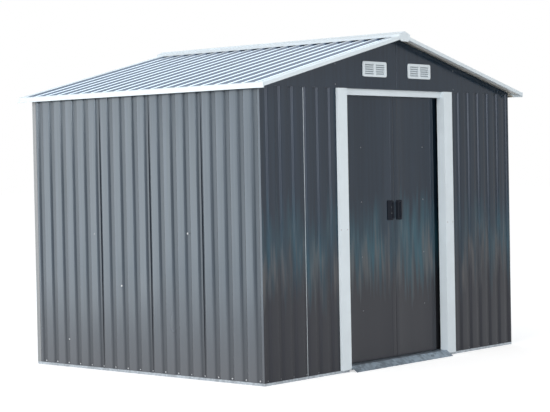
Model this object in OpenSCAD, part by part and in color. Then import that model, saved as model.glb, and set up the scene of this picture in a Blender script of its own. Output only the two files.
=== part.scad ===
// Gabled metal storage shed with double sliding doors.
// Frame: x to the right seen from the front, y to the rear, z up from the ground.

/* [Body] */
// width over the raised faces of the side walls
wall_w = 2450; // [2000:10:3000]
// depth over the raised faces of the front and rear walls
wall_d = 1900; // [1500:10:2600]
// height of the side wall sheets' upper edge
wall_top = 1641; // [1500:1:1800]
// height of the pale strip of base rail below the sheets
base_h = 15; // [10:1:25]

/* [Sheet] */
// thickness of the ribbed sheet
sheet_t = 0.6; // [0.4:0.1:1]
// thickness of folded trims and rails
trim_t = 1.2; // [0.8:0.1:1.6]
// depth of the pressed grooves and ribs
rib_h = 11; // [6:0.5:14]
// flat width of a groove bottom or a rib top
rib_flat = 26; // [18:1:34]
// width of one sloping rib side
rib_web = 11; // [6:0.5:14]
// spacing of the side wall grooves
side_pitch = 105.3; // [95:0.1:115]
// spacing of the front and rear wall grooves
front_pitch = 108.5; // [95:0.5:120]
// distance of the first groove from a corner
first_groove = 40; // [34:1:60]

/* [Roof] */
// angle of each roof slope
roof_angle = 14; // [8:0.5:20]
// height of the roof line over the side wall sheets' upper edge, at the wall
roof_lift = 30.57; // [28:0.01:60]
// how far the eave trim stands out from the side wall
eave_out = 57; // [40:1:90]
// how far the gable trim stands out from the end wall
gable_out = 78; // [50:1:110]
// spacing of the roof ribs
roof_pitch = 102; // [95:0.5:110]
// distance of the first rib centre from the front edge
roof_first = 80; // [60:1:90]
// height of the eave trim
eave_trim_h = 27; // [22:1:34]
// height of the gable trim
gable_trim_h = 21; // [18:1:34]
// half width of the ridge cap
cap_half = 52; // [44:1:70]
// height of the ridge cap over the roof line
cap_rise = 20; // [16:1:36]

/* [Doorway] */
// clear width between the jambs
door_w = 964; // [800:2:1200]
// face width of a jamb
jamb_w = 85; // [60:1:100]
// how far a jamb stands in front of the wall
jamb_out = 15; // [10:1:20]
// depth of a jamb's inner side
reveal_d = 56; // [45:1:60]
// height of the door header's lower edge
head_z = 1612; // [1500:1:1620]
// height of the sill
sill_h = 34; // [26:1:36]
// how far the sill ramp stands in front of the wall
ramp_out = 55; // [40:1:70]

/* [Doors] */
// distance of the leaves' faces behind the wall face
leaf_set = 47; // [47:1:50]
// thickness of a leaf
leaf_t = 22; // [18:1:24]
// gap between the closed leaves
leaf_gap = 6; // [5.5:0.5:8]
// offset of the meeting line from the centre of the doorway
meet_x = 36; // [0:1:45]
// width of the recessed strip on a leaf's outer edge
leaf_flange = 60; // [50:1:70]
// distance of a leaf's raised face from the jamb
leaf_inset = 38; // [20:1:45]
// handle width
handle_w = 58; // [40:1:70]
// handle height
handle_h = 120; // [90:1:150]
// height of the handle centres
handle_z = 926; // [800:1:1100]

/* [Vents] */
// vent width
vent_w = 228; // [180:1:260]
// vent height
vent_h = 90; // [76:1:100]
// height of the vent centres
vent_z = 1767; // [1745:1:1790]
// distance of a vent's centre from the gable seam
vent_x = 222; // [160:1:300]
// offset of the gable seam from the centre
seam_x = 18; // [0:1:40]

/* [Hidden] */
$fn = 48;
hw = wall_w / 2;
hd = wall_d / 2;
slope = tan(roof_angle);
groove_half = rib_flat / 2;
rib_half = groove_half + rib_web;
in_face = rib_h + sheet_t;
trim_v = trim_t / cos(roof_angle);
ridge_z = wall_top + roof_lift + slope * hw;
end_rise = 8;
end_top = wall_top + end_rise;
half_door = door_w / 2;
roof_x = hw + eave_out;
roof_y = hd + gable_out;
seat = 0.2;
play = 0.05;
roof_w = 2 * (roof_y - trim_t - seat);
roof_ribs = floor((roof_w - roof_first - rib_half) / roof_pitch) + 1;
sheet_drop = trim_v + seat + in_face / cos(roof_angle);
lap = 20;
jamb_lap = 6;
front_end = half_door + jamb_w - jamb_lap;
front_len = hw - front_end;
side_shift = 1;
side_grooves = floor((wall_d - 2 * (first_groove + side_shift)) / side_pitch) + 1;
front_grooves = floor((front_len - first_groove - rib_half) / front_pitch) + 1;
rear_grooves = floor((wall_w - 2 * first_groove) / front_pitch) + 1;
rear_first = (wall_w - (rear_grooves - 1) * front_pitch) / 2;
base_up = 45;
base_foot = 40;
base_gap = 2;
rail_d = 26;
rail_h = 50;
mid_z = 830;
jamb_clear = 18;
head_rail_low = wall_top - 35;
eave_rail_low = wall_top - 41;
eave_lip = 7;
eave_play = 1.5;
flange_w = 20;
gable_gap = 2;
gable_drop = 3;
angle_w = 30;
angle_t = 0.8;
angle_short = 5;
eave_z = roof_line(roof_x) - eave_trim_h;
track_low = wall_top - 21;
track_top = wall_top + 12;
track_lip = wall_top - 13;
track_back = 83;
track_lip_w = 18;
leaf_t1 = 0.8;
leaf_turn = 14;
leaf_clear = 6;
leaf_lap = 8;
leaf_low = sill_h + leaf_clear;
leaf_top = head_z + leaf_lap;
sill_nose = 3;
sill_rear = 6;
head_back = 3;
head_up = 19;
bead_out = 2;
jamb_turn = 14;
leaf_edge = half_door - leaf_inset;
stile_w = 34;
stile_rise = 1.5;
plate_t = 3;
grip_t = 9;
handle_gap = 11;
arm_w = 40;
arm_t = 2;
arm_drop = 30;
axle_r = 3;
axle_l = 18;
roller_r = 5;
roller_w = 10;
roller_play = 5.2;
roller_z = track_lip + trim_t + roller_play + roller_r;
cap_t = 1.4;
apex_low = 41;
apex_half = 34;
bead_h = 14;
eave_flange = 25;
gable_flange_w = 52;
lip_w = 12;
slot_n = 5;
slot_pitch = 13;
slot_h = 6;
slot_w = 84;
slot_tilt = 35;
vent_t = 6;
vent_r = 12;
vent_side = 16;
vent_edge = 12;
mid_bar = 20;
cap_angle = 20;
cap_edge = 1.3 * trim_t;
apex_cut = 12;
ridge_gap = 14;
corner_y = 27;
corner_x = 10;
corner_low = 1;
corner_high = 3;

// height of the roof line at a distance from the centre
function roof_line(x) = ridge_z - slope * abs(x);
// height of the roof sheet's underside
function roof_under(x) = roof_line(x) - sheet_drop;
// height of a gable's upper edge
function gable_top(x) = roof_under(x) - play;
function reversed(v) = [for (i = [len(v) - 1 : -1 : 0]) v[i]];

// one face of a ribbed sheet: length, first rib, spacing, count, start depth, rib depth
function rib_line(l, first, pitch, n, d, h) = concat(
  [[0, d]],
  [for (i = [0 : n - 1])
    for (p = [[-rib_half, 0], [-groove_half, h], [groove_half, h], [rib_half, 0]])
      [first + i * pitch + p[0], d + p[1]]],
  [[l, d]]
);
function ribbed(l, first, pitch, n) = concat(
  rib_line(l, first, pitch, n, 0, rib_h),
  reversed(rib_line(l, first, pitch, n, sheet_t, rib_h))
);

// upright ribbed sheet, x along the wall, y into the building
module wall_sheet(l, first, pitch, n, top) {
  linear_extrude(top - base_h) polygon(ribbed(l, first, pitch, n));
}

// extrusion along x of a section drawn as distance inwards and height
module along_x(x0, x1) {
  translate([x0, 0, 0]) rotate([90, 0, 90]) linear_extrude(x1 - x0) children();
}

// extrusion along y of a section drawn as x and height
module along_y(y0, y1) {
  translate([0, y1, 0]) rotate([90, 0, 0]) linear_extrude(y1 - y0) children();
}

module both_x() {
  children();
  mirror([1, 0, 0]) children();
}

module both_y() {
  children();
  mirror([0, 1, 0]) children();
}

// ---- base -------------------------------------------------------------
// folded rail: outer lip, ledge under the sheet, upstand behind it, foot
module base_section() {
  polygon([
    [0, 0], [base_foot, 0], [base_foot, trim_t], [trim_t, trim_t],
    [trim_t, base_h - trim_t], [in_face + trim_t, base_h - trim_t],
    [in_face + trim_t, base_up], [in_face, base_up], [in_face, base_h], [0, base_h]
  ]);
}

module front_rail() {
  intersection() {
    along_x(-hw, -half_door - base_gap) translate([-hd, 0]) base_section();
    linear_extrude(base_up) polygon([
      [-hw, -hd], [-half_door, -hd], [-half_door, -hd + base_foot], [-hw + base_foot, -hd + base_foot]
    ]);
  }
}

module base_rails_front() {
  color("silver") both_x() front_rail();
}

module base_rail_left() {
  color("silver") intersection() {
    along_y(-hd, hd) translate([-hw, 0]) base_section();
    linear_extrude(base_up) polygon([
      [-hw, -hd], [-hw + base_foot, -hd + base_foot], [-hw + base_foot, hd - base_foot], [-hw, hd]
    ]);
  }
}

module base_rail_right() {
  mirror([1, 0, 0]) base_rail_left();
}

module base_rail_rear() {
  color("silver") mirror([0, 1, 0]) intersection() {
    along_x(-hw, hw) translate([-hd, 0]) base_section();
    linear_extrude(base_up) polygon([
      [-hw, -hd], [hw, -hd], [hw - base_foot, -hd + base_foot], [-hw + base_foot, -hd + base_foot]
    ]);
  }
}

// hollow sill with a ramp in front
module door_sill() {
  run = ramp_out - sill_nose;
  back = leaf_set + leaf_t + sill_rear;
  color("silver") along_x(-half_door + seat, half_door - seat) translate([-hd, 0]) polygon([
    [-ramp_out, 0], [-ramp_out + 2 * trim_t, 0], [-ramp_out + run, sill_h - trim_t],
    [back - trim_t, sill_h - trim_t], [back - trim_t, 0], [back, 0], [back, sill_h],
    [-ramp_out + run - trim_t, sill_h]
  ]);
}

// ---- walls ------------------------------------------------------------
module wall_front_left() {
  color("dimgray") translate([-hw, -hd, base_h])
    wall_sheet(front_len, first_groove, front_pitch, front_grooves, end_top);
}

module wall_front_right() {
  mirror([1, 0, 0]) wall_front_left();
}

module wall_left() {
  color("slategray") translate([-hw, -hd + sheet_t, base_h]) rotate([0, 0, 90]) mirror([0, 1, 0])
    wall_sheet(wall_d - 2 * sheet_t, first_groove + side_shift - sheet_t, side_pitch, side_grooves, wall_top);
}

module wall_right() {
  mirror([1, 0, 0]) wall_left();
}

module wall_rear() {
  color("dimgray") mirror([0, 1, 0]) translate([-hw, -hd, base_h])
    wall_sheet(wall_w, rear_first, front_pitch, rear_grooves, end_top);
}

module corner_angles_rear() {
  high = wall_top - base_h - angle_short;
  color("lightgray") both_x() translate([0, 0, base_h]) linear_extrude(high) polygon([
    [-hw - angle_t, hd + angle_t], [-hw - angle_t, hd - angle_w], [-hw, hd - angle_w],
    [-hw, hd], [-hw + angle_w, hd], [-hw + angle_w, hd + angle_t]
  ]);
}

// ---- inner rails ------------------------------------------------------
module rail_section() {
  polygon([
    [in_face, 0], [rail_d, 0], [rail_d, trim_t], [in_face + trim_t, trim_t],
    [in_face + trim_t, rail_h - trim_t], [rail_d, rail_h - trim_t], [rail_d, rail_h], [in_face, rail_h]
  ]);
}

module mid_rails_front() {
  color("gray") both_x() along_x(-hw + in_face, -half_door - jamb_clear)
    translate([-hd, mid_z - rail_h / 2]) rail_section();
}

module mid_rails_side() {
  color("gray") both_x() along_y(-hd + rail_d + seat, hd - in_face)
    translate([-hw, mid_z - rail_h / 2]) rail_section();
}

module mid_rail_rear() {
  color("gray") mirror([0, 1, 0]) along_x(-hw + rail_d + seat, hw - rail_d - seat)
    translate([-hd, mid_z - rail_h / 2]) rail_section();
}

module eave_rail_left() {
  top = roof_under(hw - in_face) - eave_play;
  out = -eave_out + trim_t + seat;
  color("tan") along_y(-hd + sheet_t, hd - sheet_t) translate([-hw, 0]) polygon([
    [in_face, eave_rail_low], [in_face + trim_t, eave_rail_low], [in_face + trim_t, top],
    [in_face, top], [in_face, wall_top + trim_t], [out, wall_top + trim_t], [out, wall_top - eave_lip],
    [out + trim_t, wall_top - eave_lip], [out + trim_t, wall_top], [in_face, wall_top]
  ]);
}

module eave_rail_right() {
  mirror([1, 0, 0]) eave_rail_left();
}

module head_rail_rear() {
  color("gray") mirror([0, 1, 0]) along_x(-hw + in_face + trim_t + seat, hw - in_face - trim_t - seat)
    translate([-hd, head_rail_low]) rail_section();
}

// ---- doorway ----------------------------------------------------------
// channel the leaves hang in, fixed behind the front wall
module door_track() {
  end = hw - in_face - trim_t - seat;
  color("gray") along_x(-end, end) translate([-hd, 0]) polygon([
    [in_face, track_low], [in_face + trim_t, track_low], [in_face + trim_t, track_top - trim_t],
    [track_back - trim_t, track_top - trim_t], [track_back - trim_t, track_lip + trim_t],
    [track_back - track_lip_w, track_lip + trim_t], [track_back - track_lip_w, track_lip],
    [track_back, track_lip], [track_back, track_top], [in_face, track_top]
  ]);
}

module door_header() {
  face = in_face - trim_t;
  rear = reveal_d - jamb_out - head_back;
  color("white") along_x(-half_door + seat, half_door - seat) translate([-hd, 0]) polygon([
    [face - bead_out, head_z], [rear, head_z], [rear, head_z + trim_t], [in_face, head_z + trim_t],
    [in_face, wall_top + head_up], [face, wall_top + head_up], [face, head_z + bead_h],
    [face - bead_out, head_z + bead_h]
  ]);
}

module door_jamb_left() {
  back = reveal_d - jamb_out;
  color("white") translate([-half_door, -hd, base_h]) difference() {
    linear_extrude(end_top - base_h) polygon([
      [-jamb_w, 0], [-jamb_w, -jamb_out], [0, -jamb_out], [0, back], [-jamb_turn, back],
      [-jamb_turn, back - trim_t], [-trim_t, back - trim_t], [-trim_t, -jamb_out + trim_t],
      [-jamb_w + trim_t, -jamb_out + trim_t], [-jamb_w + trim_t, 0]
    ]);
    // notch under the track
    translate([-2 * jamb_turn, in_face - seat, track_low - seat - base_h])
      cube([3 * jamb_turn, back, wall_top]);
  }
}

module door_jamb_right() {
  mirror([1, 0, 0]) door_jamb_left();
}

// ---- gables -----------------------------------------------------------
module vent_hole(x) {
  translate([x, -hd, vent_z])
    cube([vent_w - 2 * vent_side, 2 * vent_t, vent_h - 2 * vent_edge], center = true);
}

module gable_flange(y0) {
  along_y(y0, -hd + flange_w) polygon([
    [-hw, gable_top(hw)], [-gable_gap, gable_top(gable_gap)],
    [-gable_gap, gable_top(gable_gap) - sheet_t], [-hw, gable_top(hw) - sheet_t]
  ]);
}

// outer sheet, laps over the other one at the seam
module gable_outer() {
  front = -hd - 2 * sheet_t;
  difference() {
    union() {
      along_y(front, front + sheet_t) polygon([
        [-hw, end_top], [seam_x, end_top], [seam_x, gable_top(seam_x)],
        [0, gable_top(0)], [-hw, gable_top(hw)]
      ]);
      gable_flange(front);
    }
    vent_hole(seam_x - vent_x);
  }
}

module gable_inner() {
  difference() {
    union() {
      along_y(-hd - sheet_t, -hd) polygon([
        [hw, end_top], [seam_x - 2 * lap, end_top], [seam_x - 2 * lap, gable_top(2 * lap) - gable_drop],
        [gable_gap, gable_top(gable_gap) - gable_drop], [gable_gap, gable_top(gable_gap)],
        [hw, gable_top(hw)]
      ]);
      mirror([1, 0, 0]) gable_flange(-hd - sheet_t);
    }
    vent_hole(seam_x + vent_x);
  }
}

module gable_front_left() {
  color("dimgray") gable_outer();
}

module gable_front_right() {
  color("dimgray") gable_inner();
}

module gable_rear_left() {
  color("dimgray") mirror([0, 1, 0]) gable_outer();
}

module gable_rear_right() {
  color("dimgray") mirror([0, 1, 0]) gable_inner();
}

// ---- vents ------------------------------------------------------------
module vent_plate() {
  straight_w = vent_w - 2 * vent_r;
  straight_h = vent_h - 2 * vent_r;
  translate([-vent_w / 2, 0, -straight_h / 2]) cube([vent_w, vent_t, straight_h]);
  translate([-straight_w / 2, 0, -vent_h / 2]) cube([straight_w, vent_t, vent_h]);
  for (x = [-1, 1], z = [-1, 1]) {
    translate([x * straight_w / 2, 0, z * straight_h / 2])
      rotate([-90, 0, 0]) cylinder(r = vent_r, h = vent_t);
  }
}

module vent() {
  difference() {
    vent_plate();
    for (side = [-1, 1], i = [0 : slot_n - 1]) {
      translate([side * (mid_bar + slot_w) / 2, vent_t / 2, (i - (slot_n - 1) / 2) * slot_pitch])
        rotate([slot_tilt, 0, 0]) cube([slot_w, 4 * vent_t, slot_h], center = true);
    }
  }
}

module vent_front_left() {
  color("white") translate([seam_x - vent_x, -hd - 2 * sheet_t - vent_t, vent_z]) vent();
}

module vent_front_right() {
  color("white") translate([seam_x + vent_x, -hd - sheet_t - vent_t, vent_z]) vent();
}

module vents_rear() {
  mirror([0, 1, 0]) {
    vent_front_left();
    vent_front_right();
  }
}

// ---- roof -------------------------------------------------------------
module roof_left() {
  start = roof_x - trim_t - seat - in_face * sin(roof_angle);
  color("lightsteelblue") translate([-start, -roof_w / 2, roof_under(start)]) rotate([0, -roof_angle, 0])
    rotate([90, 0, 90]) linear_extrude((start - ridge_gap) / cos(roof_angle))
      polygon(ribbed(roof_w, roof_first - trim_t, roof_pitch, roof_ribs));
}

module roof_right() {
  mirror([1, 0, 0]) roof_left();
}

module ridge_cap() {
  top = ridge_z + cap_rise;
  edge = top - cap_half * tan(cap_angle);
  foot = roof_line(cap_half - trim_t) - trim_v;
  color("white") along_y(-roof_y, roof_y) polygon([
    [0, top], [-cap_half, edge], [-cap_half, foot], [-cap_half + trim_t, foot],
    [-cap_half + trim_t, edge - trim_t], [0, top - cap_edge], [cap_half - trim_t, edge - trim_t],
    [cap_half - trim_t, foot], [cap_half, foot], [cap_half, edge]
  ]);
}

module apex_cap_front() {
  top = ridge_z + cap_rise;
  edge = top - cap_half * tan(cap_angle);
  low = ridge_z - apex_low;
  color("white") along_y(-roof_y - cap_t, -roof_y) polygon([
    [0, top], [-cap_half, edge], [-cap_half, low + apex_cut], [-apex_half, low],
    [apex_half, low], [cap_half, low + apex_cut], [cap_half, edge]
  ]);
}

module apex_cap_rear() {
  mirror([0, 1, 0]) apex_cap_front();
}

// ---- trims ------------------------------------------------------------
// band that follows the left roof slope: from x, to x, start below the line, height
module slope_band(x0, x1, down, h) {
  polygon([
    [-x0, roof_line(x0) - down], [-x1, roof_line(x1) - down],
    [-x1, roof_line(x1) - down - h], [-x0, roof_line(x0) - down - h]
  ]);
}

module eave_trim_left() {
  end = roof_y - trim_t - seat;
  face = -roof_x + trim_t;
  inner = roof_x - eave_flange;
  color("white") along_y(-end, end) polygon([
    [-roof_x, eave_z], [-roof_x + lip_w, eave_z], [-roof_x + lip_w, eave_z + trim_t],
    [face, eave_z + trim_t], [face, roof_line(-face) - trim_v], [-inner, roof_line(inner) - trim_v],
    [-inner, roof_line(inner)], [-roof_x, roof_line(roof_x)]
  ]);
}

module eave_trim_right() {
  mirror([1, 0, 0]) eave_trim_left();
}

module gable_trim_front_left() {
  near = cap_half + seat;
  color("white") union() {
    along_y(-roof_y, -roof_y + trim_t) slope_band(roof_x, near, 0, gable_trim_h);
    along_y(-roof_y, -roof_y + gable_flange_w) slope_band(roof_x - eave_flange - seat, near, 0, trim_v);
    along_y(-roof_y, -roof_y + lip_w)
      slope_band(roof_x - lip_w - seat, near, gable_trim_h - trim_v, trim_v);
  }
}

module gable_trim_front_right() {
  mirror([1, 0, 0]) gable_trim_front_left();
}

module gable_trims_rear() {
  mirror([0, 1, 0]) both_x() gable_trim_front_left();
}

module corner_cap() {
  low = eave_z - corner_low;
  high = roof_line(roof_x) + corner_high;
  translate([-roof_x - cap_t, -roof_y - cap_t, low]) cube([cap_t, corner_y, high - low]);
  translate([-roof_x - cap_t, -roof_y - cap_t, low]) cube([corner_x, cap_t, high - low]);
}

module corner_caps() {
  color("white") both_x() both_y() corner_cap();
}

// ---- doors ------------------------------------------------------------
// outline of one leaf's face: a stile at each edge, a flat panel set back between them
function leaf_face(x0, x1, d) = [
  [x0, d], [x0 + stile_w - d, d], [x0 + stile_w + stile_rise - d, d + stile_rise],
  [x1 - stile_w - stile_rise + d, d + stile_rise], [x1 - stile_w + d, d], [x1, d]
];

module leaf(x0, x1) {
  outer = leaf_t - leaf_t1;
  translate([0, -hd + leaf_set, leaf_low]) linear_extrude(leaf_top - leaf_low) polygon(concat(
    [[x0, leaf_t]],
    leaf_face(x0, x1, 0),
    [[x1, outer], [x1 + leaf_flange, outer], [x1 + leaf_flange, leaf_t], [x1 - leaf_t1, leaf_t],
     [x1 - leaf_t1, leaf_t1]],
    reversed(leaf_face(x0 + leaf_t1, x1 - leaf_t1, leaf_t1)),
    [[x0 + leaf_t1, outer], [x0 + leaf_turn, outer], [x0 + leaf_turn, leaf_t]]
  ));
}

module door_left() {
  color("darkslategray") mirror([1, 0, 0]) leaf(-meet_x + leaf_gap / 2, leaf_edge);
}

module door_right() {
  color("darkslategray") leaf(meet_x + leaf_gap / 2, leaf_edge);
}

// plate with an upright grip on its inner half
module handle() {
  translate([0, -plate_t, -handle_h / 2]) cube([handle_w, plate_t, handle_h]);
  translate([handle_w * 0.1, -plate_t - grip_t, -handle_h * 0.42])
    cube([handle_w * 0.3, grip_t, handle_h * 0.84]);
}

module handle_left() {
  color("black") translate([meet_x - leaf_gap / 2 - handle_gap, -hd + leaf_set, handle_z])
    mirror([1, 0, 0]) handle();
}

module handle_right() {
  color("black") translate([meet_x + leaf_gap / 2 + handle_gap, -hd + leaf_set, handle_z])
    handle();
}

module hanger() {
  face = -hd + leaf_set + leaf_t1 + stile_rise;
  low = leaf_top - arm_drop;
  translate([-arm_w / 2, face, low]) cube([arm_w, arm_t, roller_z + roller_r - low]);
  translate([0, face, roller_z]) rotate([-90, 0, 0]) cylinder(r = axle_r, h = axle_l);
  translate([0, face + axle_l - arm_t, roller_z]) rotate([-90, 0, 0]) cylinder(r = roller_r, h = roller_w);
}

module hangers_left() {
  color("gray") for (x = [0.07, 0.93]) {
    translate([-leaf_edge + x * (leaf_edge + meet_x), 0, 0]) hanger();
  }
}

module hangers_right() {
  color("gray") for (x = [0.09, 0.91]) {
    translate([meet_x + x * (leaf_edge - meet_x), 0, 0]) hanger();
  }
}

base_rails_front();
base_rail_left();
base_rail_right();
base_rail_rear();
door_sill();
wall_front_left();
wall_front_right();
wall_left();
wall_right();
wall_rear();
corner_angles_rear();
mid_rails_front();
mid_rails_side();
mid_rail_rear();
eave_rail_left();
eave_rail_right();
head_rail_rear();
door_track();
door_header();
door_jamb_left();
door_jamb_right();
gable_front_left();
gable_front_right();
gable_rear_left();
gable_rear_right();
vent_front_left();
vent_front_right();
vents_rear();
roof_left();
roof_right();
ridge_cap();
apex_cap_front();
apex_cap_rear();
eave_trim_left();
eave_trim_right();
gable_trim_front_left();
gable_trim_front_right();
gable_trims_rear();
corner_caps();
door_left();
door_right();
handle_left();
handle_right();
hangers_left();
hangers_right();
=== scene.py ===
"""Looks of a gabled metal shed: pressed and painted sheet, folded trims, fixings, light and camera."""

import logging
import math
from collections.abc import Iterable, Sequence
from dataclasses import dataclass, field, replace
from enum import Enum
from itertools import product
from typing import Any

import bpy
from mathutils import Matrix, Vector


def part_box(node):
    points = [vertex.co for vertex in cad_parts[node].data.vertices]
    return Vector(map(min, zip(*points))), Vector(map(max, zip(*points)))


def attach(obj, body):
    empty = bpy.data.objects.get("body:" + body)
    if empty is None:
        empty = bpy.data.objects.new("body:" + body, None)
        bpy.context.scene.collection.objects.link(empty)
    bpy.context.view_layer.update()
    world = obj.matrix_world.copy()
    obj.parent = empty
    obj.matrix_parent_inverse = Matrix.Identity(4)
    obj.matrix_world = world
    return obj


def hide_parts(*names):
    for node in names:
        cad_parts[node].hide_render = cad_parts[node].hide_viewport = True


LOG = logging.getLogger("shed")

Colour = tuple[float, float, float]
Triple = tuple[float, float, float]

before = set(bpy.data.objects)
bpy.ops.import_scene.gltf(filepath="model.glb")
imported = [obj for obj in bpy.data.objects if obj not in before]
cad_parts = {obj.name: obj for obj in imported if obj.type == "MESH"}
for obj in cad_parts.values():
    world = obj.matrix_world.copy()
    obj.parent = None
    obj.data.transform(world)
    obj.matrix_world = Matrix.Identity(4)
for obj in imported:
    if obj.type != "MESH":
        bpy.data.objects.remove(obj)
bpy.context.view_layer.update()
GROOVE_DEPTH = "groove_depth"
NOISE_LOW, NOISE_HIGH = 0.25, 0.75
EVEN: Triple = (1.0, 1.0, 1.0)


class Side(Enum):
    """The left and right side of the shed, each with the sign of its x."""

    LEFT = -1
    RIGHT = 1

    @property
    def sign(self) -> int:
        """Which way the side lies along x."""
        return self.value


class Body(Enum):
    """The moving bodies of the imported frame."""

    SHED = "shed"
    LEFT_LEAF = "door_left"
    RIGHT_LEAF = "door_right"


# ---- node trees -------------------------------------------------------------------------------


@dataclass
class Tree:
    """A node tree that is put together from short calls."""

    tree: bpy.types.NodeTree

    def node(self, kind: str, **settings: Any) -> bpy.types.Node:
        """Adds a node.

        Args:
            kind: Blender's type name for the node.
            settings: properties to set on it.

        Returns:
            The new node.
        """
        made = self.tree.nodes.new(kind)
        for name, value in settings.items():
            setattr(made, name, value)
        return made

    def feed(self, socket: bpy.types.NodeSocket, value: Any) -> None:
        """Links a socket to another one, or gives it a value.

        Args:
            socket: the input to fill.
            value: an output socket, or a plain value.
        """
        if isinstance(value, bpy.types.NodeSocket):
            self.tree.links.new(value, socket)
        else:
            socket.default_value = value

    def math(self, operation: str, *values: Any, clamp: bool = False) -> bpy.types.NodeSocket:
        """Adds a Math node.

        Args:
            operation: its operation.
            values: its inputs, sockets or numbers.
            clamp: whether the result is held between 0 and 1.

        Returns:
            The node's output.
        """
        made = self.node("ShaderNodeMath", operation=operation, use_clamp=clamp)
        for socket, value in zip(made.inputs, values):
            self.feed(socket, value)
        return made.outputs[0]

    def vector(self, x: Any, y: Any, z: Any) -> bpy.types.NodeSocket:
        """Adds a Combine XYZ node and returns its output."""
        made = self.node("ShaderNodeCombineXYZ")
        for socket, value in zip(made.inputs, (x, y, z)):
            self.feed(socket, value)
        return made.outputs[0]

    def noise(self, vector: Any, scale: float, detail: float = 2.0) -> bpy.types.NodeSocket:
        """Adds a noise texture.

        Args:
            vector: where it is read.
            scale: features a metre, about.
            detail: how many finer layers it has.

        Returns:
            Its value, from 0 to 1.
        """
        made = self.node("ShaderNodeTexNoise")
        self.feed(made.inputs["Vector"], vector)
        made.inputs["Scale"].default_value = scale
        made.inputs["Detail"].default_value = detail
        return made.outputs["Fac"]

    def own_place(self) -> Any:
        """The x, y and z of the piece's own coordinates, as a material's outputs by name."""
        split = self.node("ShaderNodeSeparateXYZ")
        self.feed(split.inputs[0], self.node("ShaderNodeTexCoord").outputs["Object"])
        return split.outputs

    def seen_white(self) -> bpy.types.NodeSocket:
        """1 for rays that come straight from the camera or from a mirror-like surface, else 0."""
        path = self.node("ShaderNodeLightPath")
        return self.math("MAXIMUM", path.outputs["Is Camera Ray"], path.outputs["Is Glossy Ray"])

    def end_in(self, result: Any, geometry: Any, finish: Any) -> None:
        """Ends a geometry tree: instances are made real and take a material.

        Args:
            result: the socket that takes the tree's result.
            geometry: what the tree has made.
            finish: the material.
        """
        plain = self.node("GeometryNodeRealizeInstances")
        self.feed(plain.inputs["Geometry"], geometry)
        painted = self.node("GeometryNodeSetMaterial")
        self.feed(painted.inputs["Geometry"], plain.outputs[0])
        self.feed(painted.inputs["Material"], finish)
        self.feed(result, painted.outputs[0])


def new_geometry_tree(name: str, sizes: Sequence[tuple[str, str]]) -> tuple[Tree, dict[str, Any], Any]:
    """Starts a geometry tree with named inputs.

    Args:
        name: the tree's name.
        sizes: the name and socket type of each input.

    Returns:
        The tree, its inputs by name, and the socket that takes its result.
    """
    group = bpy.data.node_groups.new(name, "GeometryNodeTree")
    group.interface.new_socket("Geometry", in_out="OUTPUT", socket_type="NodeSocketGeometry")
    for label, kind in sizes:
        group.interface.new_socket(label, in_out="INPUT", socket_type=kind)
    tree = Tree(group)
    start = tree.node("NodeGroupInput")
    end = tree.node("NodeGroupOutput")
    return tree, {label: start.outputs[label] for label, _ in sizes}, end.inputs["Geometry"]


def realise(source: bpy.types.Object, tree: bpy.types.NodeTree, values: dict[str, Any]) -> bpy.types.Mesh:
    """Runs a geometry tree on an object, and takes the modifier off again.

    Args:
        source: the object that carries the modifier for a moment. It is removed afterwards.
        tree: the geometry tree.
        values: a value for each of the tree's inputs, by the input's name.

    Returns:
        The result as a plain mesh.
    """
    modifier = source.modifiers.new("tree", "NODES")
    modifier.node_group = tree
    for item in tree.interface.items_tree:
        if item.in_out == "INPUT" and item.name in values:
            modifier[item.identifier] = values[item.name]
    bpy.context.scene.collection.objects.link(source)
    bpy.context.view_layer.update()
    depsgraph = bpy.context.evaluated_depsgraph_get()
    mesh = bpy.data.meshes.new_from_object(source.evaluated_get(depsgraph), depsgraph=depsgraph)
    source.modifiers.clear()
    bpy.data.objects.remove(source)
    return mesh


def add_piece(name: str, mesh: bpy.types.Mesh) -> bpy.types.Object:
    """Puts a mesh into the scene as an object at the origin.

    Args:
        name: the name of the object and its mesh.
        mesh: the mesh.

    Returns:
        The object.
    """
    mesh.name = name
    piece = bpy.data.objects.new(name, mesh)
    bpy.context.scene.collection.objects.link(piece)
    return piece


def round_edges(piece: bpy.types.Object, width: float, angle: float) -> None:
    """Rounds a piece's sharp edges.

    Args:
        piece: the piece.
        width: how far back from the edge the rounding starts, in metres.
        angle: the smallest turn in radians that counts as an edge.
    """
    bevel = piece.modifiers.new("rounded_edges", "BEVEL")
    bevel.width = width
    bevel.segments = 2
    bevel.limit_method = "ANGLE"
    bevel.angle_limit = angle
    bevel.harden_normals = True


# ---- finishes ---------------------------------------------------------------------------------


def new_material(name: str) -> tuple[bpy.types.Material, Tree, bpy.types.Node]:
    """Starts a material.

    Args:
        name: the material's name.

    Returns:
        The material, its tree and its main shader.
    """
    made = bpy.data.materials.new(name)
    made.use_nodes = True
    tree = Tree(made.node_tree)
    return made, tree, made.node_tree.nodes["Principled BSDF"]


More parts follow.
